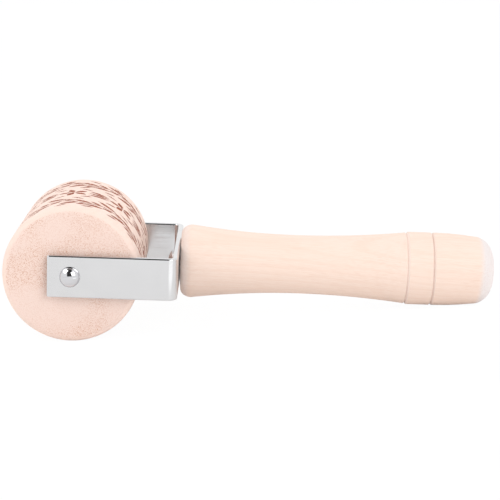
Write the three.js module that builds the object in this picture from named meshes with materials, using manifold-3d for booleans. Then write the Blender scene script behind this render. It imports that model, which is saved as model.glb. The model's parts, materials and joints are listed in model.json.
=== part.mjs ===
// A one-handed dough roller. A turned wooden roller spins on a riveted axle between the arms of a
// bent steel yoke, and the yoke is screwed to the end of a turned wooden handle.
// Millimetres. +X runs along the tool to the butt of its handle, +Y along the axle, +Z up.

import * as THREE from "three";
import { mergeVertices } from "three/addons/utils/BufferGeometryUtils.js";
import Module from "manifold-3d";

// Roller
const rollerRadius = 24.7;
const rollerLength = 60;
const rollerEdgeRound = 2.4;

// Carving on the roller: two running vines with a row of rosettes between them
const carvingDepth = 0.8;
const rowPitch = 17.5;
const vineWaves = 8;
const vineSwing = 1.8;
const leavesPerWave = 4;
const leafLength = 7.6;
const leafWidth = 2.3;
const leafLean = 0.35;
const leafOffset = 3;
const rosettes = 8;
const petalsPerRosette = 5;
const petalLength = 5;
const petalWidth = 2.4;
const petalOffset = 3.3;

// Axle rivet, with the same domed head on both ends
const axleRadius = 2;
const axleHeadRadius = 3.7;
const axleHeadHeight = 2.8;

// Spacer washers between the roller and the arms
const washerRadius = 5.5;
const washerThickness = 0.7;

// Yoke, bent from flat strip
const stripWidth = 15.3;
const stripThickness = 2;
const stripEdgeRound = 0.6;
const stripEndRound = 0.8;
const bendInsideRadius = 1.4;
const axleToWeb = 38.2;
const axleToArmEnd = 8.3;

// Handle, measured from its front face
const handleLength = 117;
const shoulderRadius = 13.65;
const shoulderRound = 4.2;
const waistRadius = 10.95;
const waistAt = 43.5;
const swellRadius = 13.3;
const collarRadius = 13.6;
const collarLength = 9.6;
const firstGrooveAt = 84.4;
const grooveWidth = 1.4;
const grooveDepth = 0.8;
const tailRadius = 12.65;
const buttRoundLength = 7.5;
const buttFlatRadius = 4.2;

// Wood screw through the web into the handle
const screwRadius = 2;
const screwHeadRadius = 4;
const screwHeadHeight = 2.4;
const screwLength = 26;
const screwTipLength = 5;

// Clearances
const axleInRoller = 0.1;
const axleInArm = 0.15;
const axleInWasher = 0.15;
const washerEndPlay = 0.15;
const headSeat = 0.1;
const handleSeat = 0.3;
const screwInWeb = 0.2;
const screwInWood = 0.1;
const screwTipRoom = 0.6;

// Fineness of round faces
const rollerSides = 64;
const handleSides = 48;
const hardwareSides = 32;
const arcSteps = 3;
const handleCurveSteps = 5;
const bevelSteps = 2;
const leafSteps = 4;
const weldDistance = 1e-4;

// Where the pieces meet
const armInside = rollerLength / 2 + washerThickness + 2 * washerEndPlay;
const armOutside = armInside + stripThickness;
const webInside = axleToWeb - stripThickness;
const handleStart = axleToWeb + handleSeat;
const screwStart = webInside - headSeat;
const cutterOverrun = 1;

const beech = { roughness: 0.6, metalness: 0 };
const polishedSteel = { roughness: 0.12, metalness: 1 };

const wasm = await Module();
wasm.setup();

// A closed geometry as a solid that can be cut.
function solidOf(geometry) {
  const bare = geometry.clone();
  bare.deleteAttribute("normal");
  bare.deleteAttribute("uv");
  const welded = mergeVertices(bare, weldDistance);
  return new wasm.Manifold(
    new wasm.Mesh({
      numProp: 3,
      vertProperties: welded.attributes.position.array,
      triVerts: new Uint32Array(welded.index.array),
    }),
  );
}

// A cut solid as a geometry again.
function geometryOf(solid) {
  const mesh = solid.getMesh();
  const geometry = new THREE.BufferGeometry();
  geometry.setAttribute("position", new THREE.BufferAttribute(mesh.vertProperties, mesh.numProp));
  geometry.setIndex(new THREE.BufferAttribute(mesh.triVerts, 1));
  geometry.computeVertexNormals();
  return geometry;
}

// A profile of radius against station, turned about Y.
function turned(profile, steps, sides) {
  return new THREE.LatheGeometry(profile.getPoints(steps), sides);
}

// The same, laid along +X.
function turnedAlongX(profile, steps, sides) {
  return turned(profile, steps, sides).rotateZ(-Math.PI / 2);
}

function piece(name, geometry, color, finish) {
  const mesh = new THREE.Mesh(geometry, new THREE.MeshStandardMaterial({ color, ...finish }));
  mesh.name = name;
  return mesh;
}

// Roller blank: a bored cylinder whose end edges are rounded over.
function rollerBlank() {
  const half = rollerLength / 2;
  const bore = axleRadius + axleInRoller;
  const edge = rollerRadius - rollerEdgeRound;
  const profile = new THREE.Path();
  profile.moveTo(bore, -half);
  profile.lineTo(edge, -half);
  profile.absarc(edge, rollerEdgeRound - half, rollerEdgeRound, -Math.PI / 2, 0, false);
  profile.lineTo(rollerRadius, half - rollerEdgeRound);
  profile.absarc(edge, half - rollerEdgeRound, rollerEdgeRound, 0, Math.PI / 2, false);
  profile.lineTo(bore, half);
  profile.lineTo(bore, -half);
  return turned(profile, arcSteps, rollerSides);
}

// One leaf of the carving, a pointed oval between two parabolas. It is sunk into the roller at an
// angle round the axle and a place along it, and leans from the way round the roller.
function leafPocket(length, width, around, along, lean) {
  const outline = new THREE.Shape();
  outline.moveTo(-length / 2, 0);
  outline.quadraticCurveTo(0, -width, length / 2, 0);
  outline.quadraticCurveTo(0, width, -length / 2, 0);
  const pocket = new THREE.ExtrudeGeometry(outline, {
    depth: carvingDepth + cutterOverrun,
    curveSegments: leafSteps,
    bevelEnabled: false,
  });
  pocket.rotateZ(lean);
  pocket.translate(0, along, rollerRadius - carvingDepth);
  return pocket.rotateY(around);
}

// A vine runs round the roller in waves, with leaves on either side of it in turn.
function vineLeaves(row) {
  const count = vineWaves * leavesPerWave;
  return Array.from({ length: count }, (_, index) => {
    const around = (2 * Math.PI * index) / count;
    const side = index % 2 ? 1 : -1;
    const along = row + vineSwing * Math.sin(vineWaves * around) + side * leafOffset;
    return leafPocket(leafLength, leafWidth, around, along, side * leafLean);
  });
}

// A rosette is a ring of petals that point away from its middle.
function rosettePetals(row) {
  const count = rosettes * petalsPerRosette;
  return Array.from({ length: count }, (_, index) => {
    const middle = (2 * Math.PI * Math.floor(index / petalsPerRosette)) / rosettes;
    const turn = (2 * Math.PI * index) / petalsPerRosette;
    const around = middle + (petalOffset * Math.cos(turn)) / rollerRadius;
    const along = row + petalOffset * Math.sin(turn);
    return leafPocket(petalLength, petalWidth, around, along, turn);
  });
}

// Roller: the blank with its carving cut in.
function makeRoller() {
  const pockets = [...vineLeaves(-rowPitch), ...rosettePetals(0), ...vineLeaves(rowPitch)];
  const carved = pockets.reduce(
    (solid, pocket) => solid.subtract(solidOf(pocket)),
    solidOf(rollerBlank()),
  );
  return piece("roller", geometryOf(carved), 0xf0d3c3, beech);
}

// Axle rivet: a shank through both arms and the roller, closed by a dome outside each arm.
function makeAxleRivet() {
  const seat = armOutside + headSeat;
  const profile = new THREE.Path();
  profile.moveTo(0, -seat - axleHeadHeight);
  profile.absellipse(0, -seat, axleHeadRadius, axleHeadHeight, -Math.PI / 2, 0, false);
  profile.lineTo(axleRadius, -seat);
  profile.lineTo(axleRadius, seat);
  profile.lineTo(axleHeadRadius, seat);
  profile.absellipse(0, seat, axleHeadRadius, axleHeadHeight, 0, Math.PI / 2, false);
  return piece("axle_rivet", turned(profile, arcSteps + 1, hardwareSides), 0xdcdcde, polishedSteel);
}

// Spacer washer: a flat ring in the gap between the roller's end and an arm.
function makeSpacerWasher(name, side) {
  const hole = axleRadius + axleInWasher;
  const profile = new THREE.Path();
  profile.moveTo(hole, -washerThickness / 2);
  profile.lineTo(washerRadius, -washerThickness / 2);
  profile.lineTo(washerRadius, washerThickness / 2);
  profile.lineTo(hole, washerThickness / 2);
  profile.lineTo(hole, -washerThickness / 2);
  const washer = piece(name, turned(profile, 1, hardwareSides), 0xc8c8ca, polishedSteel);
  washer.position.y = side * (rollerLength / 2 + washerEndPlay + washerThickness / 2);
  return washer;
}

// The strip seen from above: two arms, two bends and the web, with rounded free ends.
function yokePlan() {
  const outerBend = bendInsideRadius + stripThickness;
  const bendStart = axleToWeb - outerBend;
  const armEnd = stripEndRound - axleToArmEnd;
  const quarter = Math.PI / 2;
  const plan = new THREE.Shape();
  plan.moveTo(armEnd, -armOutside);
  plan.lineTo(bendStart, -armOutside);
  plan.absarc(bendStart, outerBend - armOutside, outerBend, -quarter, 0, false);
  plan.lineTo(axleToWeb, armOutside - outerBend);
  plan.absarc(bendStart, armOutside - outerBend, outerBend, 0, quarter, false);
  plan.lineTo(armEnd, armOutside);
  plan.absarc(armEnd, armOutside - stripEndRound, stripEndRound, quarter, 2 * quarter, false);
  plan.lineTo(-axleToArmEnd, armInside + stripEndRound);
  plan.absarc(armEnd, armInside + stripEndRound, stripEndRound, 2 * quarter, 3 * quarter, false);
  plan.lineTo(bendStart, armInside);
  plan.absarc(bendStart, armInside - bendInsideRadius, bendInsideRadius, quarter, 0, true);
  plan.lineTo(webInside, bendInsideRadius - armInside);
  plan.absarc(bendStart, bendInsideRadius - armInside, bendInsideRadius, 0, -quarter, true);
  plan.lineTo(armEnd, -armInside);
  plan.absarc(armEnd, -armInside - stripEndRound, stripEndRound, quarter, 2 * quarter, false);
  plan.lineTo(-axleToArmEnd, stripEndRound - armOutside);
  plan.absarc(armEnd, stripEndRound - armOutside, stripEndRound, 2 * quarter, 3 * quarter, false);
  return plan;
}

// Yoke: the plan raised to the strip's width with its edges broken, then drilled for the axle
// through both arms and for the screw through the web.
function makeYoke() {
  const strip = new THREE.ExtrudeGeometry(yokePlan(), {
    depth: stripWidth - 2 * stripEdgeRound,
    curveSegments: arcSteps,
    bevelEnabled: true,
    bevelThickness: stripEdgeRound,
    bevelSize: stripEdgeRound,
    bevelOffset: -stripEdgeRound,
    bevelSegments: bevelSteps,
  });
  strip.translate(0, 0, stripEdgeRound - stripWidth / 2);

  const axleHole = axleRadius + axleInArm;
  const axleDrill = new THREE.CylinderGeometry(
    axleHole,
    axleHole,
    2 * (armOutside + cutterOverrun),
    hardwareSides,
  );

  const screwHole = screwRadius + screwInWeb;
  const screwDrill = new THREE.CylinderGeometry(
    screwHole,
    screwHole,
    stripThickness + 2 * cutterOverrun,
    hardwareSides,
  );
  screwDrill.rotateZ(-Math.PI / 2).translate(webInside + stripThickness / 2, 0, 0);

  const drilled = solidOf(strip).subtract(solidOf(axleDrill)).subtract(solidOf(screwDrill));
  return piece("yoke", geometryOf(drilled), 0xdfdfe0, polishedSteel);
}

// The handle's outline: pilot hole, flat front, rounded shoulder, waist, swell, a collar between
// two V grooves, a tapering tail and a rounded butt with a small flat.
function handleProfile() {
  const pilotRadius = screwRadius + screwInWood;
  const pilotDepth = screwStart + screwLength + screwTipRoom - handleStart;
  const groove = grooveWidth / 2;
  const secondGrooveAt = firstGrooveAt + collarLength;
  const collarEnd = secondGrooveAt + groove;
  const swellEnd = firstGrooveAt - groove;
  const buttStart = handleLength - buttRoundLength;
  const frontFlat = shoulderRadius - shoulderRound;

  const profile = new THREE.Path();
  profile.moveTo(0, pilotDepth);
  profile.lineTo(pilotRadius, pilotDepth);
  profile.lineTo(pilotRadius, 0);
  profile.lineTo(frontFlat, 0);
  profile.absarc(frontFlat, shoulderRound, shoulderRound, -Math.PI / 2, 0, false);
  profile.quadraticCurveTo(waistRadius, (shoulderRound + waistAt) / 2, waistRadius, waistAt);
  profile.quadraticCurveTo(waistRadius, (waistAt + swellEnd) / 2, swellRadius, swellEnd);
  profile.lineTo(collarRadius - grooveDepth, firstGrooveAt);
  profile.lineTo(collarRadius, firstGrooveAt + groove);
  profile.lineTo(collarRadius, secondGrooveAt - groove);
  profile.lineTo(collarRadius - grooveDepth, secondGrooveAt);
  profile.lineTo(collarRadius, collarEnd);
  profile.quadraticCurveTo(collarRadius, (collarEnd + buttStart) / 2, tailRadius, buttStart);
  profile.absellipse(
    buttFlatRadius,
    buttStart,
    tailRadius - buttFlatRadius,
    buttRoundLength,
    0,
    Math.PI / 2,
    false,
  );
  profile.lineTo(0, handleLength);
  return profile;
}

function makeHandle() {
  const geometry = turnedAlongX(handleProfile(), handleCurveSteps, handleSides);
  const handle = piece("handle", geometry, 0xf6e2d3, beech);
  handle.position.x = handleStart;
  return handle;
}

// Handle screw: a round head on the inside of the web, a plain shank and a point.
function makeHandleScrew() {
  const profile = new THREE.Path();
  profile.moveTo(0, -screwHeadHeight);
  profile.absellipse(0, 0, screwHeadRadius, screwHeadHeight, -Math.PI / 2, 0, false);
  profile.lineTo(screwRadius, 0);
  profile.lineTo(screwRadius, screwLength - screwTipLength);
  profile.lineTo(0, screwLength);
  const geometry = turnedAlongX(profile, arcSteps, hardwareSides);
  const screw = piece("handle_screw", geometry, 0xc2c2c5, polishedSteel);
  screw.position.x = screwStart;
  return screw;
}

// How far the handle droops when the tool lies on a table: the least angle at which some point of
// the handle's outline comes down to the line under the roller.
function restTilt() {
  const angles = handleProfile()
    .getPoints(handleCurveSteps)
    .map(({ x: radius, y: station }) => {
      const along = handleStart + station;
      const reach = Math.hypot(along, radius);
      return Math.asin(rollerRadius / reach) - Math.atan2(radius, along);
    });
  return Math.min(...angles);
}

// What the hand holds turns as one about the axle, down to the table.
const held = new THREE.Group();
held.add(
  makeYoke(),
  makeAxleRivet(),
  makeSpacerWasher("spacer_washer_front", -1),
  makeSpacerWasher("spacer_washer_rear", 1),
  makeHandle(),
  makeHandleScrew(),
);
held.rotation.y = restTilt();

// The tool stands with its origin on the table, under the middle of its box.
const tool = new THREE.Group();
tool.add(makeRoller(), held);
const box = new THREE.Box3().setFromObject(tool, true);
tool.position.set(-(box.min.x + box.max.x) / 2, 0, -box.min.z);

const part = new THREE.Group();
part.add(tool);

export default part;
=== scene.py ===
"""A one-handed dough roller: the finished surfaces of its seven pieces, a studio and a camera.

Sizes are in metres, in the frame of the part: +X along the tool to the butt of its handle, +Y along the
axle, +Z up, with the table at Z = 0.
"""

import json
import math
from functools import partial

import bpy
import numpy as np
from bpy.props import FloatProperty, FloatVectorProperty, IntProperty, PointerProperty
from bpy.types import NodeSocket, Operator, Panel, PropertyGroup
from mathutils import Matrix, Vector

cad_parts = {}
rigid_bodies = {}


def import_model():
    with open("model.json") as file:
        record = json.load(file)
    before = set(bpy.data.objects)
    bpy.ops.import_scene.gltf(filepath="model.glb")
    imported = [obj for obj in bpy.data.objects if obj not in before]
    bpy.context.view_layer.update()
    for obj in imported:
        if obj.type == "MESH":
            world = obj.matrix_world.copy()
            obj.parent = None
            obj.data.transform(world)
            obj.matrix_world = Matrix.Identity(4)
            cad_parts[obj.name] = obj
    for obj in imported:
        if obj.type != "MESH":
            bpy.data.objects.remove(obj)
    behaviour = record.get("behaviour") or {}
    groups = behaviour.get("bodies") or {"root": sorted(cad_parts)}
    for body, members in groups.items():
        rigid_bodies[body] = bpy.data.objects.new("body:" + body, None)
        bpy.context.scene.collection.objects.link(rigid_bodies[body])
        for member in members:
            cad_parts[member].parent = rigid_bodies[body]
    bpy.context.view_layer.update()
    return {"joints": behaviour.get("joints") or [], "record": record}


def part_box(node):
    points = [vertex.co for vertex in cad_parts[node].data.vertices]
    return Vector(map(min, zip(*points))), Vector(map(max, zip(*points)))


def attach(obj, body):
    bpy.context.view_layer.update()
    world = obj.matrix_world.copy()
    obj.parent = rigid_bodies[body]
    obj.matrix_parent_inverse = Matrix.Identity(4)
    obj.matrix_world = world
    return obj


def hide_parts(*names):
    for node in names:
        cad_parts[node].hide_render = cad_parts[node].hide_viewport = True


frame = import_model()

bl_info = {
    "name": "Dough roller",
    "version": (1, 0, 0),
    "blender": (4, 5, 0),
    "location": "3D View > Sidebar > Dough roller",
    "description": "Builds a carved dough roller in a steel yoke on a turned handle",
    "category": "Add Mesh",
}

MM = 0.001
QUARTER = math.pi / 2
TURN = 2 * math.pi
PHOTO_SIDE = 500
SENSOR_WIDTH = 36
CREASE = math.radians(35)

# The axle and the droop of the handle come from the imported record.
AXLE = np.array(frame["joints"][0]["pos_m"])
BUTT = frame["record"]["mounts"][0]
TILT = math.atan2(-BUTT["axis"][2], BUTT["axis"][0])
BUTT_STATION = float((np.array(BUTT["pos_m"]) - AXLE) @ np.array(BUTT["axis"])) / MM
ROLLER_LOW, ROLLER_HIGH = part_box("roller")


def linear(hex_colour):
    """Turns an sRGB hex colour into the linear red, green and blue that shaders use."""
    srgb = np.array([int(hex_colour[i : i + 2], 16) for i in (1, 3, 5)]) / 255
    return tuple(np.where(srgb <= 0.04045, srgb / 12.92, ((srgb + 0.055) / 1.055) ** 2.4).tolist())


def size(description, millimetres):
    """A length that a user may change, written in millimetres and kept in metres."""
    return FloatProperty(description=description, default=millimetres * MM, precision=5, unit="LENGTH")


def count(description, default):
    """A whole number that a user may change."""
    return IntProperty(description=description, default=default, min=1)


def level(description, default, **more):
    """A plain number that a user may change."""
    return FloatProperty(description=description, default=default, min=0, **more)


def angle(description, degrees):
    """An angle that a user may change, written in degrees."""
    return FloatProperty(description=description, default=math.radians(degrees), subtype="ANGLE")


def colour(description, hex_colour):
    """A colour that a user may change, written as sRGB hex."""
    return FloatVectorProperty(
        description=description, default=linear(hex_colour), min=0, max=1, subtype="COLOR"
    )


def position(description, default):
    """A place that a user may change, in metres."""
    return FloatVectorProperty(description=description, default=default, size=len(default), unit="LENGTH")


def labelled(group):
    """Gives each setting of a group its own key, in plain words, as its label."""
    for key, setting in group.__annotations__.items():
        setting.keywords["name"] = key.replace("_", " ").capitalize()
    return group


@labelled
class RollerSettings(PropertyGroup):
    radius: size("Outside of the roller", (ROLLER_HIGH.z - ROLLER_LOW.z) / 2 / MM)
    length: size("Along the axle", (ROLLER_HIGH.y - ROLLER_LOW.y) / MM)
    edge_round: size("Radius of the rounded ends", 2.4)
    bore: size("Radius of the hole for the axle", 2.1)
    depth: size("How deep leaves and petals are cut", 0.6)
    row_pitch: size("Rosettes to each vine", 17.5)
    vine_waves: count("Waves of each vine round the roller", 8)
    vine_swing: size("How far a vine sways to each side", 1.8)
    stem_width: size("Width of the line that is cut for a stem", 0.8)
    leaves: count("Leaves on one wave of a vine", 4)
    leaf_length: size("From stalk to tip", 7.6)
    leaf_width: size("Across the middle", 2.3)
    leaf_lean: angle("Between a leaf and the way round the roller", math.degrees(0.35))
    leaf_offset: size("Stem to the middle of a leaf", 3)
    rosettes: count("Flowers in the middle row", 8)
    petals: count("Petals of one rosette", 5)
    petal_length: size("Heart to the tip", 5)
    petal_width: size("Across the middle", 2.4)
    petal_offset: size("Heart to the middle of a petal", 3.3)
    heart_radius: size("Dot in the middle of a rosette", 0.6)
    leaflet_length: size("Small leaf across the stem from a leaf", 4.4)
    leaflet_width: size("Across the middle", 2)
    leaflet_offset: size("Stem to the middle of a leaflet", 2.2)
    border_strokes: count("Short strokes in each border", 16)
    border_length: size("Along one stroke", 5.2)
    border_width: size("Across its middle", 1.3)
    border_lean: angle("Between a stroke and the way round the roller", 22)
    border_offset: size("Middle of a row to its borders", 6.6)
    sprig_length: size("Long leaf between two rosettes", 8.5)
    sprig_width: size("Across that leaf", 2)
    sprig_spread: size("Row to the outer leaves of a sprig", 2.6)
    sprig_lean: angle("How far its outer leaves turn", 11.5)


@labelled
class HandleSettings(PropertyGroup):
    length: size("Yoke to the butt", 117)
    shoulder_radius: size("Largest radius at the yoke", 13.65)
    shoulder_round: size("How far the rounded front edge draws in", 3.2)
    shoulder_length: size("Along the handle, from the front face to full radius", 4.1)
    waist_radius: size("Smallest radius of the grip", 10.95)
    waist_at: size("Front face to the waist", 43.5)
    swell_radius: size("Radius before the first groove", 13.3)
    collar_radius: size("Radius between the grooves", 13.6)
    collar_length: size("Between the two grooves", 9.6)
    groove_at: size("Front face to the first groove", 84.2)
    groove_width: size("Across the mouth of a groove", 1.1)
    groove_depth: size("Below the collar", 0.8)
    tail_radius: size("Radius where the butt begins", 12.65)
    butt_round: size("Length of the rounded butt", 7.5)
    butt_flat: size("Radius of the flat end", 4.2)
    pilot_radius: size("Radius of the hole for the screw", 2.1)
    pilot_depth: size("Depth of that hole", 24.2)


@labelled
class YokeSettings(PropertyGroup):
    strip_width: size("Height of the arms", 15.3)
    strip_thickness: size("Gauge of the steel", 2)
    edge_round: size("Rounding of the long edges", 0.6)
    end_round: size("Rounding of the free ends", 0.8)
    bend_radius: size("Inside of the two bends", 1.4)
    web_at: size("Axle to the back of the web", 38.2)
    arm_end: size("Axle to the free end of an arm", 8.3)
    arm_inside: size("Middle to the inside of an arm", 31)
    axle_hole: size("Radius of the holes in the arms", 2.15)
    screw_hole: size("Radius of the hole in the web", 2.2)


@labelled
class HardwareSettings(PropertyGroup):
    axle_radius: size("Shank of the rivet", 2)
    axle_seat: size("Middle to the foot of a rivet head", 33.1)
    rivet_radius: size("Radius of a rivet head", 3.7)
    rivet_height: size("Height of a rivet head", 2.8)
    washer_radius: size("Outside of a spacer washer", 5.5)
    washer_hole: size("Radius of its hole", 2.15)
    washer_thickness: size("Gauge of a spacer washer", 0.7)
    washer_break: size("Rounding of a washer's edges", 0.15)
    washer_at: size("Middle to a washer", 30.5)
    screw_seat: size("Axle to the foot of the screw head", 36.1)
    screw_radius: size("Outside of the thread", 2)
    screw_core: size("Bottom of the thread", 1.45)
    screw_pitch: size("From one turn of the thread to the next", 1.8)
    screw_plain: size("Below the head, with no thread", 4)
    screw_length: size("Below the head", 26)
    screw_tip: size("Length of the point", 5)
    screw_head_radius: size("Outside of the head", 4)
    screw_head_height: size("Height of the head", 2.4)
    recess_reach: size("Half the span of the cross recess", 2.3)
    recess_width: size("Width of one slot of the cross", 0.9)
    recess_depth: size("Depth at the middle of the cross", 1.3)


@labelled
class FinishSettings(PropertyGroup):
    handle_long: colour("Long grain of the handle", "#F7E0D2")
    handle_late: colour("Darker side of a growth ring", "#EFD0BC")
    handle_end: colour("Butt and front face of the handle", "#EDE4E2")
    roller_long: colour("Long grain of the roller", "#F9E0D4")
    roller_late: colour("Darker side of a growth ring", "#F2D4C5")
    roller_end: colour("Ends of the roller", "#F4DBD0")
    pores: colour("Open pores and rays of the wood", "#CC8F66")
    burnt_edge: colour("Walls of the carving", "#8A4A36")
    burnt_floor: colour("Bottom of the carving", "#BC6E4E")
    nickel: colour("Yoke strip", "#DADADB")
    polished: colour("Axle rivet", "#D4D4D7")
    zinc: colour("Washers and screw", "#C9CACC")
    paper: colour("Floor under the tool", "#F2F2F2")


@labelled
class StageSettings(PropertyGroup):
    camera_place: position("Middle of the axle to the camera", (0.06508, -0.58904, 0.12752))
    camera_azimuth: angle("Turn of the camera about the vertical", 0.0687)
    camera_elevation: angle("How far the camera looks down", 12.2468)
    camera_roll: angle("Turn of the camera about its own axis", -2.6582)
    focal_pixels: level("Focal length in pixels of the picture", 1606.66, subtype="PIXEL")
    floor_reach: size("Middle of the floor to its edge", 6000)
    softbox_side: size("Each side of a square softbox", 560)
    softbox_distance: size("Axle to a softbox", 900)
    left_azimuth: angle("Camera to the left softbox", -60)
    left_elevation: angle("Its height above the table", 52)
    right_azimuth: angle("Camera to the right softbox", 38)
    right_elevation: angle("Its height above the table", 30)
    softbox_power: level("Light from one softbox", 2.4, subtype="POWER")
    # The bright card is no lamp and no real card: it is a patch of the paper that glows, seen only by the
    # camera and in reflections, and it paints a highlight on the yoke's bend.
    glow_patch_place: position("Axle to the middle of the bright card on the paper", (0.095, -0.125))
    glow_patch_radius: size("Middle of the card to its edge", 50)
    glow_patch_light: level("Light from the card, for metal only", 2.3)
    tent_light: level("Light from the white tent round the table", 1.04)
    slot_light: level("Light from the open slot over the camera", 0.05)


@labelled
class DoughRollerSettings(PropertyGroup):
    roller: PointerProperty(type=RollerSettings)
    handle: PointerProperty(type=HandleSettings)
    yoke: PointerProperty(type=YokeSettings)
    hardware: PointerProperty(type=HardwareSettings)
    finish: PointerProperty(type=FinishSettings)
    stage: PointerProperty(type=StageSettings)


# Surfaces


def smooth_step(low, high, value):
    """Rises from 0 at low to 1 at high as 3t^2 - 2t^3, where t is how far value has come."""
    t = np.clip((value - low) / (high - low), 0, 1)
    return t * t * (3 - 2 * t)


def arc(middle, radii, start, end, steps):
    """Points of an ellipse's arc: middle + (a cos t, b sin t), with t from start to end."""
    t = np.linspace(start, end, steps + 1)
    return np.column_stack([middle[0] + radii[0] * np.cos(t), middle[1] + radii[1] * np.sin(t)])


def bow(start, control, end, steps):
    """Points of a parabola: (1-t)^2 start + 2t(1-t) control + t^2 end, with t from 0 to 1."""
    t = np.linspace(0, 1, steps + 1)[:, None]
    return (1 - t) ** 2 * np.array(start) + 2 * t * (1 - t) * np.array(control) + t**2 * np.array(end)


def grid_faces(rows, columns, rows_close=False):
    """Quads between neighbours of a grid of vertices, whose columns run all the way round.

    Each has two corners in one row and two in the next, in the order that faces outwards on a turned
    surface.
    """
    index = np.arange(rows * columns).reshape(rows, columns)
    here = index if rows_close else index[:-1]
    there = np.roll(index, -1, axis=0)[: len(here)]
    return np.stack(
        [np.roll(here, -1, axis=1), here, there, np.roll(there, -1, axis=1)], axis=-1
    ).reshape(-1, 4)


def turned_points(stations, radii, angles):
    """A turned surface along +X: station s, radius r and angle a give (s, r sin a, r cos a)."""
    stations, radii, angles = np.broadcast_arrays(stations, radii, angles)
    return np.stack([stations, radii * np.sin(angles), radii * np.cos(angles)], axis=-1)


def close_poles(points, faces, rows, columns):
    """Draws each end row of a turned grid that lies on the axis together into one vertex."""
    index = np.arange(rows * columns).reshape(rows, columns)
    for row in (0, rows - 1):
        ring = points[index[row]]
        if np.ptp(ring, axis=0).max() < 1e-9:
            index[row] = index[row, 0]
    faces = index.reshape(-1)[faces]
    whole = faces[(faces[:, 0] != faces[:, 1]) & (faces[:, 2] != faces[:, 3])]
    first = faces[faces[:, 0] == faces[:, 1]][:, 1:]
    last = faces[faces[:, 2] == faces[:, 3]][:, :3]
    parts = (whole, first, last)
    used = np.unique(np.concatenate([part.reshape(-1) for part in parts]))
    number = np.zeros(len(points), int)
    number[used] = np.arange(len(used))
    return points[used], [face for part in parts for face in number[part].tolist()]


def along_y(points):
    """Turns a piece that was made along +X so that it lies along +Y."""
    return points[..., [1, 0, 2]] * np.array([-1, 1, 1])


def held(points):
    """Puts a piece of the stock in place: turned down by the droop about the axle, then moved to it."""
    c, s = math.cos(TILT), math.sin(TILT)
    x, y, z = points[..., 0], points[..., 1], points[..., 2]
    return np.stack([c * x + s * z, y, c * z - s * x], axis=-1) + AXLE


def make_mesh(name, points, faces):
    """A smooth mesh whose edges stay sharp where two faces meet at more than the crease."""
    mesh = bpy.data.meshes.new(name)
    mesh.from_pydata(points.reshape(-1, 3), [], faces if isinstance(faces, list) else faces.tolist())
    mesh.validate()
    mesh.shade_smooth()
    mesh.set_sharp_from_angle(angle=CREASE)
    return mesh


def make_piece(mesh, material, body, slot, *nodes):
    """Adds a mesh as a piece that stands for CAD nodes and rides on their body."""
    piece = bpy.data.objects.new(mesh.name, mesh)
    bpy.context.scene.collection.objects.link(piece)
    mesh.materials.append(material)
    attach(piece, body)
    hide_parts(*nodes)


def lathe_mesh(name, profile, sides, turn=None):
    """A mesh turned from a profile of stations and radii, with its poles closed."""
    angles = np.arange(sides) / sides * TURN
    points = turned_points(profile[:, :1], profile[:, 1:], angles).reshape(-1, 3)
    points, faces = close_poles(points, grid_faces(len(profile), sides), len(profile), sides)
    return make_mesh(name, held(turn(points) if turn else points), faces)


def drilled(mesh, rods):
    """The mesh with a hole where each rod passes through it, as a plain mesh with no modifier left."""
    name = mesh.name
    objects = bpy.context.scene.collection.objects
    blank = bpy.data.objects.new("blank", mesh)
    objects.link(blank)
    bits = [bpy.data.objects.new("drill", rod) for rod in rods]
    for bit in bits:
        objects.link(bit)
        hole = blank.modifiers.new("hole", "BOOLEAN")
        hole.object = bit
        hole.solver = "EXACT"
    graph = bpy.context.evaluated_depsgraph_get()
    result = bpy.data.meshes.new_from_object(blank.evaluated_get(graph))
    for used in (blank, *bits):
        bpy.data.objects.remove(used)
    for used in (mesh, *rods):
        bpy.data.meshes.remove(used)
    result.name = name
    result.set_sharp_from_angle(angle=CREASE)
    return result


# Carving


def leaf_distance(around, along, length, width):
    """How far inside a leaf a point is, in metres, and negative outside.

    The leaf lies along the first axis. Half its width there is w(x) = W/2 (1 - (2x/L)^2), and the distance
    to its side is about (w - |y|) / sqrt(1 + w'^2). Past its tips it is the distance to the nearer tip.
    """
    half = width / 2 * (1 - (2 * around / length) ** 2)
    slope = -4 * width * around / length**2
    side = (half - np.abs(along)) / np.sqrt(1 + slope**2)
    beyond = np.abs(around) - length / 2
    return np.where(beyond > 0, -np.hypot(beyond, along), side)


def wrapped(sizes, around, start, number):
    """The way round the roller from the nearest of a number of equal places, the first of them at start."""
    pitch = TURN / number
    return ((around - start + pitch / 2) % pitch - pitch / 2) * sizes.radius


def leaf_ring(ground, number, place, lean, shape):
    """The distance inside a ring of equal leaves: each leans by turning (u, v) into its own two axes.

    ground holds the sizes and the points of the roller, as angles round it and stations along it.
    """
    sizes, around, along = ground
    u = wrapped(sizes, around, place[0], number)
    v = along - place[1]
    x = u * math.cos(lean) + v * math.sin(lean)
    y = v * math.cos(lean) - u * math.sin(lean)
    return leaf_distance(x, y, *shape)


def vine(ground, row):
    """A stem that sways as a sine, with leaves on either side in turn and a leaflet across from each."""
    sizes, around, along = ground
    waves = sizes.vine_waves
    swing = sizes.vine_swing * np.sin(waves * around)
    slope = sizes.vine_swing * waves * np.cos(waves * around) / sizes.radius
    parts = [sizes.stem_width / 2 - np.abs(along - row - swing) / np.hypot(1, slope)]
    for k in range(sizes.leaves):
        start = TURN * k / sizes.leaves / waves
        side = 1 if k % 2 else -1
        stem = row + sizes.vine_swing * math.sin(waves * start)
        leaf = (start, stem + side * sizes.leaf_offset)
        leaflet = (start, stem - side * sizes.leaflet_offset)
        lean = side * sizes.leaf_lean
        parts += [
            leaf_ring(ground, waves, leaf, lean, (sizes.leaf_length, sizes.leaf_width)),
            leaf_ring(ground, waves, leaflet, -lean, (sizes.leaflet_length, sizes.leaflet_width)),
        ]
    return parts


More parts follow.
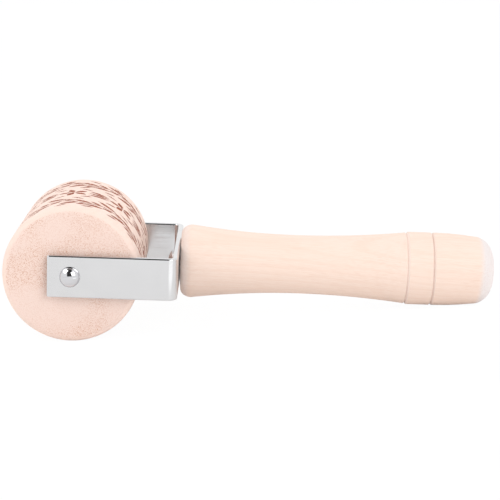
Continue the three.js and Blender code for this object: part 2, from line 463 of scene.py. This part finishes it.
def rosette_row(ground):
    """Rosettes of petals round a dot, and between two rosettes a sprig of three long leaves."""
    sizes, around, along = ground
    number = sizes.rosettes
    parts = [sizes.heart_radius - np.hypot(wrapped(sizes, around, 0, number), along)]
    petal = (sizes.petal_length, sizes.petal_width)
    for j in range(sizes.petals):
        turn = TURN * j / sizes.petals
        place = (
            sizes.petal_offset * math.cos(turn) / sizes.radius,
            sizes.petal_offset * math.sin(turn),
        )
        parts.append(leaf_ring(ground, number, place, turn, petal))
    sprig = (sizes.sprig_length, sizes.sprig_width)
    for side in (-1, 0, 1):
        place = (math.pi / number, side * sizes.sprig_spread)
        parts.append(leaf_ring(ground, number, place, side * sizes.sprig_lean, sprig))
    return parts


def borders(ground, row):
    """Two rings of short strokes, one on either side of a row, that lean opposite ways."""
    sizes = ground[0]
    stroke = (sizes.border_length, sizes.border_width)
    parts = []
    for side in (-1, 1):
        place = (side * (1 + row / sizes.radius), row + side * sizes.border_offset)
        lean = side * sizes.border_lean
        parts.append(leaf_ring(ground, sizes.border_strokes, place, lean, stroke))
    return parts


def carving(sizes, around, along):
    """How far inside the carving each point is, in metres, and negative outside.

    Two vines run round the roller, with a row of rosettes between them and short strokes beside each row.
    The distance inside them all is the greatest of the distances inside each.
    """
    ground = (sizes, around, along)
    parts = rosette_row(ground)
    for row in (-sizes.row_pitch, sizes.row_pitch):
        parts += vine(ground, row)
    for row in (-sizes.row_pitch, 0, sizes.row_pitch):
        parts += borders(ground, row)
    return np.maximum.reduce(np.broadcast_arrays(*parts))


# Materials

# Of the wood, in millimetres.
RING_WIDTH = 2.4
BAND_MIDDLE = 2.0
BAND_FADE = (14.0, 4.0)
FLOOR_FADE = (0.05, 0.35)
BURN_FADE = (-0.12, 0.02)
# A map range that eases in and out.
SMOOTH = {"interpolation_type": "SMOOTHSTEP"}
# The dull grey film on plated steel.
HAZE = linear("#BCBCBC")


def add_node(tree, kind, inputs=(), out=0, **settings):
    """Adds a node with its settings and returns one output; each input is a socket to link or a value.

    Inputs come by name or in the node's own order, which for a map range is value, from, from, to, to.
    """
    node = tree.nodes.new("ShaderNode" + kind)
    for name, value in settings.items():
        setattr(node, name, value)
    for key, value in inputs.items() if isinstance(inputs, dict) else enumerate(inputs):
        if isinstance(value, NodeSocket):
            tree.links.new(value, node.inputs[key])
        else:
            node.inputs[key].default_value = value
    return node.outputs[out] if node.outputs else None


def new_material(name):
    """An empty node material, and the function that adds nodes to it."""
    material = bpy.data.materials.new(name)
    material.use_nodes = True
    material.node_tree.nodes.clear()
    return material, partial(add_node, material.node_tree)


def rgba(colour_value):
    """A colour with full alpha."""
    return (*colour_value, 1.0)


def millimetres(add, lie):
    """Object coordinates in millimetres from the axle, along and across a grain that lies as +X turned."""
    place = add("TexCoord", out="Object")
    laid = {"Vector": place, "Location": tuple(AXLE), "Rotation": lie, "Scale": (MM, MM, MM)}
    return add("Mapping", laid, vector_type="TEXTURE")


def turned_beech(name, tones, lie, pith, ends, speckle, sanded=None, carved=None):
    """Beech, turned on a lathe and sanded: pale, with faint rings, fine fibres and short dark pores.

    The grain runs along the first axis of the piece, so one solid pattern gives lines on the side and dots
    on the ends. tones are long grain, late wood, end grain and pores, lie is the turn that lays +X along the
    grain, and pith is the heart of the tree, in millimetres from the axis of the piece. ends is how squarely
    a cut shows the first and the full end grain, and speckle how strong pores are on the side and on an end.
    sanded is two stations between which end grain grows to full, with its share before them, and carved the
    tones of the burn.
    """
    material, add = new_material(name)
    long_grain, late_wood, end_grain, pores = (rgba(tone) for tone in tones)
    grain = millimetres(add, lie)
    # Growth rings wander slowly along the grain and give the side faint broad bands. At scale 1 the node's
    # own rings are TURN / 20 wide.
    ring_space = add("Mapping", {"Vector": grain, "Location": (0, *pith), "Scale": (0.07, 1, 1)})
    wander = {"Distortion": 2.5, "Detail": 2.0, "Detail Scale": 0.8}
    rings = add(
        "TexWave",
        {"Vector": ring_space, "Scale": TURN / 20 / RING_WIDTH, **wander},
        out="Fac",
        wave_type="RINGS",
        rings_direction="X",
        wave_profile="SIN",
    )
    # Fibres about 0.5 mm wide and 40 mm long draw fine lines on the side.
    fibre_space = add("Mapping", {"Vector": grain, "Scale": (0.04, 1.6, 1.6)})
    fibre_look = {"Scale": 1.6, "Detail": 3.0, "Roughness": 0.6}
    fibres = add("TexNoise", {"Vector": fibre_space, **fibre_look}, out="Fac")
    # Pores are 0.1 mm across. They are drawn three to a millimetre, so that they show as flecks.
    pore_space = add("Mapping", {"Vector": grain, "Scale": (0.25, 3.0, 3.0)})
    cell = add("TexVoronoi", {"Vector": pore_space, "Scale": 1.0}, out="Distance")
    pore_mask = add("MapRange", (cell, 0.62, 0.15), **SMOOTH)
    # They crowd in patches a centimetre or two across, and in a band through the heart of the piece.
    patches = add("TexNoise", {"Vector": grain, "Scale": 0.06, "Detail": 1.0}, out="Fac")
    height = add("SeparateXYZ", (grain,), out="Z")
    height = add("Math", (height, BAND_MIDDLE), operation="SUBTRACT")
    height = add("Math", (height,), operation="ABSOLUTE")
    band = add("MapRange", (height, *BAND_FADE, -0.04, 0.12))
    patches = add("Math", (patches, band), operation="ADD")
    crowd = add("MapRange", (patches, 0.4, 0.64, 0.4, 1.5))
    # How squarely the surface cuts the grain: 0 on the side, 1 on an end.
    across = add("VectorRotate", {"Vector": (1, 0, 0), "Rotation": lie}, rotation_type="EULER_XYZ")
    normal = add("TexCoord", out="Normal")
    facing = add("VectorMath", (normal, across), out="Value", operation="DOT_PRODUCT")
    facing = add("Math", (facing,), operation="ABSOLUTE")
    end_mask = add("MapRange", (facing, *ends), **SMOOTH)
    if sanded:
        # End grain shows in full only on the last stretch before the butt, and at a share of it before that
        # stretch.
        station = add("SeparateXYZ", (grain,), out="X")
        share = add("MapRange", (station, *sanded))
        end_mask = add("Math", (end_mask, share), operation="MULTIPLY")
    shown = add("MapRange", (end_mask, 0.0, 1.0, *speckle))
    for factor in (crowd, cell.node.outputs["Color"], shown):
        pore_mask = add("Math", (pore_mask, factor), operation="MULTIPLY")
    ring_share = add("MapRange", (rings, 0.6, 1.0, 0.0, 0.22))
    fibre_share = add("MapRange", (fibres, 0.4, 0.75, 0.0, 0.4))
    wood = long_grain
    layers = [(ring_share, late_wood), (fibre_share, late_wood), (end_mask, end_grain), (pore_mask, pores)]
    for share, tone in layers:
        wood = add("Mix", {0: share, 6: wood, 7: tone}, out=2, data_type="RGBA")
    # Sanding leaves a dull face that shines a little more along some fibres.
    rough = add("MapRange", (fibres, 0.0, 1.0, 0.5, 0.66))
    if carved:
        wood, rough = burnt_carving(add, grain, wood, rough, *carved)
    # Fibres stand 0.05 mm proud and pores lie open, so the side catches light in streaks.
    relief = add("Math", (fibres, pore_mask), operation="SUBTRACT")
    bump = add("Bump", {"Strength": 0.35, "Distance": 0.05 * MM, "Height": relief})
    face = {"Base Color": wood, "Roughness": rough, "Normal": bump, "IOR": 1.5}
    add("OutputMaterial", {"Surface": add("BsdfPrincipled", face)})
    return material


def burnt_carving(add, grain, wood, rough, edge, floor):
    """Lays the burn of the engraving over the wood: dark at the walls, orange-brown on the floors."""
    inside = add("Attribute", out="Fac", attribute_name="carving_inside")
    # How far inside the outline, in millimetres, the floor and the burn begin and are full.
    on_floor = add("MapRange", (inside, *FLOOR_FADE), **SMOOTH)
    burnt = add("MapRange", (inside, *BURN_FADE), **SMOOTH)
    # The burn is uneven over about 3 mm, so no two leaves have quite the same brown.
    uneven = add("TexNoise", {"Vector": grain, "Scale": 0.4, "Detail": 2.0}, out="Fac")
    on_floor = add("Math", (on_floor, uneven, 0.25), operation="MULTIPLY_ADD", use_clamp=True)
    burn = add("Mix", {0: on_floor, 6: rgba(edge), 7: rgba(floor)}, out=2, data_type="RGBA")
    wood = add("Mix", {0: burnt, 6: wood, 7: burn}, out=2, data_type="RGBA")
    # Charred wood is duller than sanded wood.
    rough = add("Mix", {0: burnt, 2: rough, 3: 0.8})
    return wood, rough


def plated_steel(name, base, rough, drawn):
    """Plated steel: a clear grey mirror, a little blurred by fine drawing lines along the strip.

    rough is the least and the most roughness, and drawn how many lines a millimetre holds along and across.
    """
    material, add = new_material(name)
    strip = millimetres(add, (0, TILT, 0))
    drawn_space = add("Mapping", {"Vector": strip, "Scale": drawn})
    lines = add("TexNoise", {"Vector": drawn_space, "Scale": 1.0, "Detail": 3.0}, out="Fac")
    # Plate is a little cloudy over about a centimetre, so a mirrored edge is not equally sharp all along.
    cloud = add("TexNoise", {"Vector": strip, "Scale": 0.12, "Detail": 2.0}, out="Fac")
    blur = add("Math", (lines, cloud), operation="MULTIPLY")
    roughness = add("MapRange", (blur, 0.12, 0.4, *rough))
    tint = add("MapRange", (cloud, 0.3, 0.7, 0.0, 0.06))
    face = add("Mix", {0: tint, 6: rgba(base), 7: rgba(HAZE)}, out=2, data_type="RGBA")
    mirror = {"Base Color": face, "Metallic": 1.0, "Roughness": roughness}
    add("OutputMaterial", {"Surface": add("BsdfPrincipled", mirror)})
    return material


# Operators


class ROLLER_OT_carved(Operator):
    """Adds the carved roller"""

    bl_idname = "dough_roller.roller"
    bl_label = "Carved roller"

    sides = 512
    steps = 164
    # Where the wall of a cut starts and ends, how deep it is there, and how far on the floor still sinks.
    wall = (-0.05 * MM, 0.3 * MM)
    first_cut = 0.6
    sinking = 1.2 * MM

    def execute(self, context):
        tool = context.scene.dough_roller
        sizes = tool.roller
        around = np.arange(self.sides) / self.sides * TURN
        plain = sizes.length / 2 - sizes.edge_round
        along = np.linspace(-plain, plain, self.steps + 1)[:, None]
        inside = carving(sizes, around, along)
        cut = smooth_step(*self.wall, inside) * np.minimum(1, self.first_cut + inside / self.sinking)
        barrel = sizes.radius - sizes.depth * cut

        # The ends: a quarter round at each edge, a flat face and the bore.
        half = sizes.length / 2
        edge = sizes.radius - sizes.edge_round
        corner = arc((half - sizes.edge_round, edge), (sizes.edge_round,) * 2, QUARTER, 0, 8)[1:]
        face = np.column_stack([np.full(6, half), np.linspace(edge, sizes.bore, 7)[1:]])
        back_end = np.concatenate([corner, face])
        front_end = back_end[::-1] * np.array([-1, 1])
        radii = np.concatenate(
            [np.repeat(front_end[:, 1:], self.sides, 1), barrel, np.repeat(back_end[:, 1:], self.sides, 1)]
        )
        stations = np.concatenate([front_end[:, :1], along, back_end[:, :1]])
        points = along_y(turned_points(stations, radii, around)) + AXLE
        faces = grid_faces(len(stations), self.sides, rows_close=True)
        mesh = make_mesh("roller_carved", points, faces)
        uncut = np.full((len(front_end), self.sides), -1.0)
        layer = mesh.attributes.new("carving_inside", "FLOAT", "POINT")
        whole = np.concatenate([uncut, inside / MM, uncut]).astype(np.float32)
        layer.data.foreach_set("value", whole.reshape(-1))
        finish = tool.finish
        beech = turned_beech(
            "beech_turned_and_engraved",
            (finish.roller_long, finish.roller_late, finish.roller_end, finish.pores),
            lie=(0, 0, QUARTER),
            pith=(18, 46),
            ends=(0.9, 0.99),
            speckle=(0.1, 1.0),
            carved=(finish.burnt_edge, finish.burnt_floor),
        )
        make_piece(mesh, beech, "roller", "roller_beech", "roller")
        return {"FINISHED"}


class ROLLER_OT_handle(Operator):
    """Adds the turned handle"""

    bl_idname = "dough_roller.handle"
    bl_label = "Turned handle"

    sides = 192
    curve_steps = 24
    # The ring on the front face that keeps it flat to the eye, as a share of the face.
    face_ring = 0.6
    # How far the grain leans off the handle's axis, down and sideways.
    grain_lean = (0.05, 0.03)

    def profile(self, sizes):
        """Stations and radii: pilot hole, front face, shoulder, waist, swell, collar, tail and butt."""
        groove = sizes.groove_width / 2
        lip = groove / 5
        second = sizes.groove_at + sizes.collar_length
        swell_end = sizes.groove_at - groove
        butt_start = sizes.length - sizes.butt_round
        front = sizes.shoulder_radius - sizes.shoulder_round
        collar = sizes.collar_radius
        valley = collar - sizes.groove_depth
        lean = groove / 3
        waist = (sizes.waist_at, sizes.waist_radius)
        shoulder = (sizes.shoulder_length, sizes.shoulder_radius)
        to_waist = ((shoulder[0] + waist[0]) / 2, sizes.waist_radius)
        to_swell = ((waist[0] + swell_end) / 2, sizes.waist_radius)
        tail = (butt_start, sizes.tail_radius)
        to_tail = ((second + groove + butt_start) / 2, collar)
        butt = (sizes.butt_round, sizes.tail_radius - sizes.butt_flat)
        steps = self.curve_steps
        return np.concatenate(
            [
                [(sizes.pilot_depth, 0), (sizes.pilot_depth, sizes.pilot_radius)],
                [(0, sizes.pilot_radius), (0, front * self.face_ring)],
                arc((shoulder[0], front), (shoulder[0], sizes.shoulder_round), 2 * QUARTER, QUARTER, 12),
                bow(shoulder, to_waist, waist, steps)[1:],
                bow(waist, to_swell, (swell_end, sizes.swell_radius), steps)[1:],
                [(swell_end + lip, sizes.swell_radius - lip), (sizes.groove_at - lean, valley)],
                [(sizes.groove_at + groove - lip, collar - lip), (sizes.groove_at + groove, collar)],
                np.linspace((sizes.groove_at + groove, collar), (second - groove, collar), 6)[1:],
                [(second - groove + lip, collar - lip), (second - lean, valley)],
                [(second + groove - lip, collar - lip)],
                bow((second + groove, collar), to_tail, tail, steps),
                arc((butt_start, sizes.butt_flat), butt, QUARTER, 0, 16)[1:],
                [(sizes.length, sizes.butt_flat / 2), (sizes.length, 0)],
            ]
        )

    def execute(self, context):
        tool = context.scene.dough_roller
        sizes = tool.handle
        profile = self.profile(sizes) + np.array([BUTT_STATION * MM - sizes.length, 0])
        mesh = lathe_mesh("handle_turned", profile, self.sides)
        finish = tool.finish
        beech = turned_beech(
            "beech_turned_and_sanded",
            (finish.handle_long, finish.handle_late, finish.handle_end, finish.pores),
            lie=(0, TILT + self.grain_lean[0], self.grain_lean[1]),
            pith=(22, -31),
            ends=(0.08, 0.5),
            speckle=(0.1, 0.2),
            sanded=(BUTT_STATION - 12, BUTT_STATION - 6, 0.35),
        )
        make_piece(mesh, beech, "stock", "handle_beech", "handle")
        return {"FINISHED"}


class ROLLER_OT_yoke(Operator):
    """Adds the bent and drilled yoke"""

    bl_idname = "dough_roller.yoke"
    bl_label = "Steel yoke"

    bend_steps = 12
    corner_steps = 6
    end_steps = 6
    hole_sides = 64
    support = 0.06 * MM

    def path(self, sizes):
        """The strip's middle line from above, its outward normals and how far it is from the free ends.

        It runs along an arm, a quarter bend, the web, a quarter bend and the other arm.
        """
        bend = sizes.bend_radius + sizes.strip_thickness / 2
        side = sizes.arm_inside + sizes.strip_thickness / 2
        start = sizes.web_at - sizes.strip_thickness / 2 - bend
        ends = sizes.end_round * (1 - np.cos(np.linspace(0, QUARTER, self.end_steps + 1)))
        straight = np.concatenate(
            [ends, [sizes.end_round + self.support], [start + sizes.arm_end - self.support]]
        )
        arm = np.column_stack([straight - sizes.arm_end, np.full(len(straight), -side)])
        turn = np.linspace(-QUARTER, 0, self.bend_steps + 1)
        curve = np.column_stack([start + bend * np.cos(turn), bend - side + bend * np.sin(turn)])
        web = np.array([[start + bend, bend - side + self.support]])
        half = np.concatenate([arm, curve, web])
        turning = np.column_stack([np.cos(turn), np.sin(turn)])
        normals = np.concatenate([np.tile([0.0, -1.0], (len(arm), 1)), turning, [[1.0, 0.0]]])
        from_end = np.concatenate([straight, np.full(len(curve) + 1, 1.0)])
        mirror = np.array([1, -1])
        return (
            np.concatenate([half, half[::-1] * mirror]),
            np.concatenate([normals, normals[::-1] * mirror]),
            np.concatenate([from_end, from_end[::-1]]),
        )

    def section(self, sizes, from_end):
        """The strip's section at each point of the path, as offsets along the normal and heights.

        It is a rectangle with rounded corners, drawn in near a free end by r - sqrt(r^2 - (r - e)^2).
        """

        def drawn_in(radius):
            short = np.clip(radius - from_end, 0, radius)
            return radius - np.sqrt(radius**2 - short**2)

        half_thickness = sizes.strip_thickness / 2 - drawn_in(sizes.end_round)[:, None]
        half_width = sizes.strip_width / 2 - drawn_in(sizes.edge_round)[:, None]
        corner = np.minimum(sizes.edge_round, 0.9 * half_thickness)
        turn = np.concatenate([[0], np.linspace(0, QUARTER, self.corner_steps + 1), [QUARTER]])
        # One more point close to each end of a corner keeps the flat sides flat to the eye.
        step = np.zeros(len(turn))
        step[[0, -1]] = 1
        quarter = QUARTER * np.arange(4)[:, None]
        back = quarter + np.where(turn == 0, QUARTER, 0)
        close = np.minimum(self.support, (half_thickness - corner) / 2)
        out = np.repeat([1, -1, -1, 1], len(turn))
        up = np.repeat([1, 1, -1, -1], len(turn))
        offsets = out * (half_thickness - corner) + corner * np.cos(quarter + turn).reshape(-1)
        heights = up * (half_width - corner) + corner * np.sin(quarter + turn).reshape(-1)
        offsets -= close * (step * np.cos(back)).reshape(-1)
        heights -= close * (step * np.sin(back)).reshape(-1)
        return offsets, heights

    def execute(self, context):
        tool = context.scene.dough_roller
        sizes = tool.yoke
        middle, normals, from_end = self.path(sizes)
        offsets, heights = self.section(sizes, from_end)
        x = middle[:, :1] + normals[:, :1] * offsets
        y = middle[:, 1:] + normals[:, 1:] * offsets
        points = held(np.stack([x, y, heights], axis=-1))
        rows, columns = offsets.shape
        index = np.arange(rows * columns).reshape(rows, columns)
        faces = grid_faces(rows, columns).tolist()
        faces += [index[0].tolist(), index[-1][::-1].tolist()]
        strip = make_mesh("yoke_strip", points, faces)
        across = sizes.arm_inside + 2 * sizes.strip_thickness
        through = 2 * sizes.strip_thickness
        rod = np.array([(-1, 0), (-1, 1), (1, 1), (1, 0)])
        axle_rod = rod * np.array([across, sizes.axle_hole])
        screw_rod = rod * np.array([through, sizes.screw_hole]) + np.array([sizes.web_at, 0])
        rods = [
            lathe_mesh("axle_drill", axle_rod, self.hole_sides, along_y),
            lathe_mesh("screw_drill", screw_rod, self.hole_sides),
        ]
        mesh = drilled(strip, rods)
        nickel = plated_steel("steel_strip_nickel_plated", tool.finish.nickel, (0.1, 0.24), (0.05, 3.0, 3.0))
        make_piece(mesh, nickel, "stock", "yoke_steel", "yoke")
        return {"FINISHED"}


class ROLLER_OT_axle_rivet(Operator):
    """Adds the axle rivet with its two domed heads"""

    bl_idname = "dough_roller.axle_rivet"
    bl_label = "Axle rivet"

    sides = 96
    dome_steps = 24

    def execute(self, context):
        tool = context.scene.dough_roller
        sizes = tool.hardware
        dome = (sizes.rivet_height, sizes.rivet_radius)
        front = arc((-sizes.axle_seat, 0), dome, 2 * QUARTER, QUARTER, self.dome_steps)
        front[0, 1] = 0
        shank = np.array([(-1, 1), (1, 1)]) * np.array([sizes.axle_seat, sizes.axle_radius])
        back = front[::-1] * np.array([-1, 1])
        mesh = lathe_mesh("axle_rivet_domed", np.concatenate([front, shank, back]), self.sides, along_y)
        steel = plated_steel("steel_rivet_polished", tool.finish.polished, (0.03, 0.08), (0.4, 0.4, 0.4))
        make_piece(mesh, steel, "stock", "rivet_steel", "axle_rivet")
        return {"FINISHED"}


class ROLLER_OT_spacer_washers(Operator):
    """Adds the two spacer washers"""

    bl_idname = "dough_roller.spacer_washers"
    bl_label = "Spacer washers"

    sides = 96
    corner_steps = 4

    def execute(self, context):
        tool = context.scene.dough_roller
        sizes = tool.hardware
        zinc = plated_steel("steel_washer_zinc_plated", tool.finish.zinc, (0.22, 0.4), (1.5, 1.5, 1.5))
        edge = sizes.washer_break
        half = sizes.washer_thickness / 2 - edge
        outside = sizes.washer_radius - edge
        inside = sizes.washer_hole + edge
        corners = [(half, outside), (half, inside), (-half, inside), (-half, outside)]
        starts = QUARTER * np.array([1, 0, -1, -2])
        profile = np.concatenate(
            [
                arc(corner, (edge, edge), start, start - QUARTER, self.corner_steps)
                for corner, start in zip(corners, starts)
            ]
        )
        around = np.arange(self.sides) / self.sides * TURN
        for name, side in (("front", -1), ("rear", 1)):
            ring = turned_points(profile[:, :1] + side * sizes.washer_at, profile[:, 1:], around)
            faces = grid_faces(len(profile), self.sides, rows_close=True)
            mesh = make_mesh(f"spacer_washer_{name}_ring", held(along_y(ring)), faces)
            make_piece(mesh, zinc, "stock", "hardware_steel", f"spacer_washer_{name}")
        return {"FINISHED"}


class ROLLER_OT_handle_screw(Operator):
    """Adds the wood screw that holds the handle"""

    bl_idname = "dough_roller.handle_screw"
    bl_label = "Handle screw"

    sides = 96
    turns_fine = 12
    head_steps = 24
    recess_wall = 0.3 * MM

    def execute(self, context):
        tool = context.scene.dough_roller
        sizes = tool.hardware
        around = np.arange(self.sides) / self.sides * TURN
        # The head is half an ellipse, sunk by a cross recess whose walls slope in.
        t = np.linspace(0, QUARTER, self.head_steps + 1)[:, None]
        head_radius = sizes.screw_head_radius * np.sin(t)
        dome = -sizes.screw_head_height * np.cos(t)
        across = head_radius * np.cos(around)
        up = head_radius * np.sin(around)
        slot = sizes.recess_width / 2 - np.minimum(np.abs(across), np.abs(up))
        reach = sizes.recess_reach - head_radius
        sunk = smooth_step(0, self.recess_wall, np.minimum(slot, reach))
        sunk = sunk * np.clip(reach / sizes.recess_reach, 0, 1)
        head = dome + sizes.recess_depth * sunk
        # The thread is a ridge that winds once round in a pitch, on a core that ends in a point.
        plain = np.array([0.0, sizes.screw_plain])[:, None]
        threaded = sizes.screw_length - sizes.screw_plain
        rows = round(threaded / sizes.screw_pitch * self.turns_fine)
        below = np.linspace(sizes.screw_plain, sizes.screw_length, rows)[1:, None]
        phase = (below / sizes.screw_pitch - around / TURN) % 1
        ridge = np.clip(1 - np.abs(phase - 0.5) * 4, 0, 1)
        taper = np.clip((sizes.screw_length - below) / sizes.screw_tip, 0, 1)
        thread = (sizes.screw_core + (sizes.screw_radius - sizes.screw_core) * ridge) * taper
        stations = np.concatenate([head, plain + 0 * around, below + 0 * around])
        radii = np.concatenate(
            [head_radius + 0 * around, np.full((2, self.sides), sizes.screw_radius), thread]
        )
        points = turned_points(stations + sizes.screw_seat, radii, around)
        rows = len(stations)
        points, faces = close_poles(points.reshape(-1, 3), grid_faces(rows, self.sides), rows, self.sides)
        mesh = make_mesh("handle_screw_threaded", held(points), faces)
        zinc = plated_steel("steel_screw_zinc_plated", tool.finish.zinc, (0.2, 0.36), (1.5, 1.5, 1.5))
        make_piece(mesh, zinc, "stock", "hardware_steel", "handle_screw")
        return {"FINISHED"}


class ROLLER_OT_stage(Operator):
    """Adds the floor, the tent, two softboxes and the camera"""

    bl_idname = "dough_roller.stage"
    bl_label = "Studio and camera"

    floor_rings = 12
    floor_sides = 64
    # How much of the white paper is plain white to the camera and to metal; the rest shows how it is lit.
    white_light = 1.02
    white_to_camera = 0.95
    white_to_metal = 0.3
    # Where the slot in the tent is shut and where it is open, as parts of the way to it: aside, back, up.
    slot_edges = ((0.4, 0.32), (0.2, 0.05), (0.08, 0.18))

    def floor(self, scene, settings, finish):
        """White paper: a flat disc with a ring of faces at each radius."""
        radii = np.concatenate([[0], np.geomspace(0.05, settings.floor_reach, self.floor_rings)])[:, None]
        around = np.arange(self.floor_sides) / self.floor_sides * TURN
        points = turned_points(0.0, radii, around)[..., ::-1].reshape(-1, 3)
        rows = len(radii)
        points, faces = close_poles(points, grid_faces(rows, self.floor_sides), rows, self.floor_sides)
        mesh = make_mesh("studio_floor", points, faces)
        material, add = new_material("paper_white_matt")
        place = add("TexCoord", out="Object")
        # Paper fibres about a millimetre long keep the white from looking painted.
        fibres = add("TexNoise", {"Vector": place, "Scale": 0.9 / MM, "Detail": 2.0}, out="Fac")
        grey = add("MapRange", (fibres, 0.0, 1.0, 0.97, 1.03))
        tone = add("VectorMath", {0: tuple(finish.paper), "Scale": grey}, operation="SCALE")
        lit = add("BsdfDiffuse", {"Color": tone})
        # A round patch of the paper in front, on the right, glows brighter than white though it is no lamp;
        # only the camera and reflections see it, and it paints a highlight on the bend of the yoke.
        middle = (AXLE[0] + settings.glow_patch_place[0], AXLE[1] + settings.glow_patch_place[1], 0)
        to_glow_patch = add("VectorMath", (place, middle), out="Value", operation="DISTANCE")
        edge = (settings.glow_patch_radius, 0.9 * settings.glow_patch_radius)
        strength = add("MapRange", (to_glow_patch, *edge, self.white_light, settings.glow_patch_light))
        white = add("Emission", {"Strength": strength})
        # The camera sees white paper with a faint shadow; metal sees more of the paper as it is lit.
        ray = add("LightPath").node.outputs
        seen = add("Math", (ray["Is Camera Ray"], self.white_to_camera), operation="MULTIPLY")
        share = add("Math", (ray["Is Glossy Ray"], self.white_to_metal, seen), operation="MULTIPLY_ADD")
        mixed = add("MixShader", (share, lit, white))
        add("OutputMaterial", {"Surface": mixed})
        floor = bpy.data.objects.new("studio_floor", mesh)
        mesh.materials.append(material)
        scene.collection.objects.link(floor)

    def tent(self, scene, settings):
        """White all round, but for an open slot that runs from behind the camera up over the table."""
        world = bpy.data.worlds.new("white_tent")
        scene.world = world
        world.use_nodes = True
        world.node_tree.nodes.clear()
        add = partial(add_node, world.node_tree)
        way = add("TexCoord", out="Generated")
        axes = add("SeparateXYZ", (way,)).node.outputs
        aside = add("Math", (axes["X"],), operation="ABSOLUTE")
        slot = 1.0
        for value, edge in zip((aside, axes["Y"], axes["Z"]), self.slot_edges):
            part = add("MapRange", (value, *edge), **SMOOTH)
            slot = add("Math", (slot, part), operation="MULTIPLY")
        light = add("MapRange", (slot, 0.0, 1.0, settings.tent_light, settings.slot_light))
        to_camera = add("LightPath", out="Is Camera Ray")
        strength = add("Mix", {0: to_camera, 2: light, 3: 1.0})
        white = rgba(linear("#FFFFFF"))
        background = add("Background", {"Color": white, "Strength": strength})
        add("OutputWorld", {"Surface": background})

    def softboxes(self, scene, settings):
        """Two square lamps, high in front on the left and on the right, that look at the axle."""
        places = (
            ("left", settings.left_azimuth, settings.left_elevation),
            ("right", settings.right_azimuth, settings.right_elevation),
        )
        for name, turn, rise in places:
            lamp = bpy.data.lights.new(f"softbox_{name}", "AREA")
            lamp.shape = "SQUARE"
            lamp.size = settings.softbox_side
            lamp.energy = settings.softbox_power
            away, right = aim(turn, rise)
            columns = [right, np.cross(away, right), away, AXLE + away * settings.softbox_distance]
            softbox = bpy.data.objects.new(lamp.name, lamp)
            softbox.matrix_world = matrix_of(columns)
            scene.collection.objects.link(softbox)

    def camera(self, scene, settings):
        """A camera with the photograph's place, direction, roll and focal length."""
        turn, rise, roll = settings.camera_azimuth, settings.camera_elevation, settings.camera_roll
        back, flat = aim(turn, rise)
        upright = np.cross(back, flat)
        right = math.cos(roll) * flat + math.sin(roll) * upright
        up = math.cos(roll) * upright - math.sin(roll) * flat
        lens = bpy.data.cameras.new("camera")
        lens.sensor_width = SENSOR_WIDTH
        lens.lens = settings.focal_pixels * SENSOR_WIDTH / PHOTO_SIDE
        lens.clip_end = 2 * settings.floor_reach
        camera = bpy.data.objects.new("camera", lens)
        camera.matrix_world = matrix_of([right, up, back, AXLE + np.array(settings.camera_place)])
        scene.collection.objects.link(camera)
        scene.camera = camera

    def execute(self, context):
        tool = context.scene.dough_roller
        scene = context.scene
        scene.view_settings.view_transform = "Standard"
        self.floor(scene, tool.stage, tool.finish)
        self.tent(scene, tool.stage)
        self.softboxes(scene, tool.stage)
        self.camera(scene, tool.stage)
        return {"FINISHED"}


def aim(turn, rise):
    """The way to a place at an azimuth and an elevation, and the level way to the right of it."""
    level = math.cos(rise)
    away = [math.sin(turn) * level, -math.cos(turn) * level, math.sin(rise)]
    return np.array(away), np.array([math.cos(turn), math.sin(turn), 0])


def matrix_of(columns):
    """The matrix whose columns are three axes and a place."""
    matrix = np.eye(4)
    matrix[:3, :4] = np.column_stack(columns)
    return Matrix(matrix.tolist())


class ROLLER_PT_panel(Panel):
    """Lists the pieces of the dough roller"""

    bl_idname = "ROLLER_PT_panel"
    bl_label = "Dough roller"
    bl_space_type = "VIEW_3D"
    bl_region_type = "UI"
    bl_category = "Dough roller"

    def draw(self, context):
        for operator in OPERATORS:
            self.layout.operator(operator.bl_idname)


OPERATORS = (
    ROLLER_OT_carved,
    ROLLER_OT_handle,
    ROLLER_OT_yoke,
    ROLLER_OT_axle_rivet,
    ROLLER_OT_spacer_washers,
    ROLLER_OT_handle_screw,
    ROLLER_OT_stage,
)
SETTINGS = (
    RollerSettings,
    HandleSettings,
    YokeSettings,
    HardwareSettings,
    FinishSettings,
    StageSettings,
    DoughRollerSettings,
)


def register():
    for cls in (*SETTINGS, *OPERATORS, ROLLER_PT_panel):
        bpy.utils.register_class(cls)
    bpy.types.Scene.dough_roller = PointerProperty(type=DoughRollerSettings)


def unregister():
    del bpy.types.Scene.dough_roller
    for cls in reversed((*SETTINGS, *OPERATORS, ROLLER_PT_panel)):
        bpy.utils.unregister_class(cls)


def main():
    register()
    bpy.ops.dough_roller.roller()
    bpy.ops.dough_roller.handle()
    bpy.ops.dough_roller.yoke()
    bpy.ops.dough_roller.axle_rivet()
    bpy.ops.dough_roller.spacer_washers()
    bpy.ops.dough_roller.handle_screw()
    bpy.ops.dough_roller.stage()


if __name__ == "__main__":
    main()
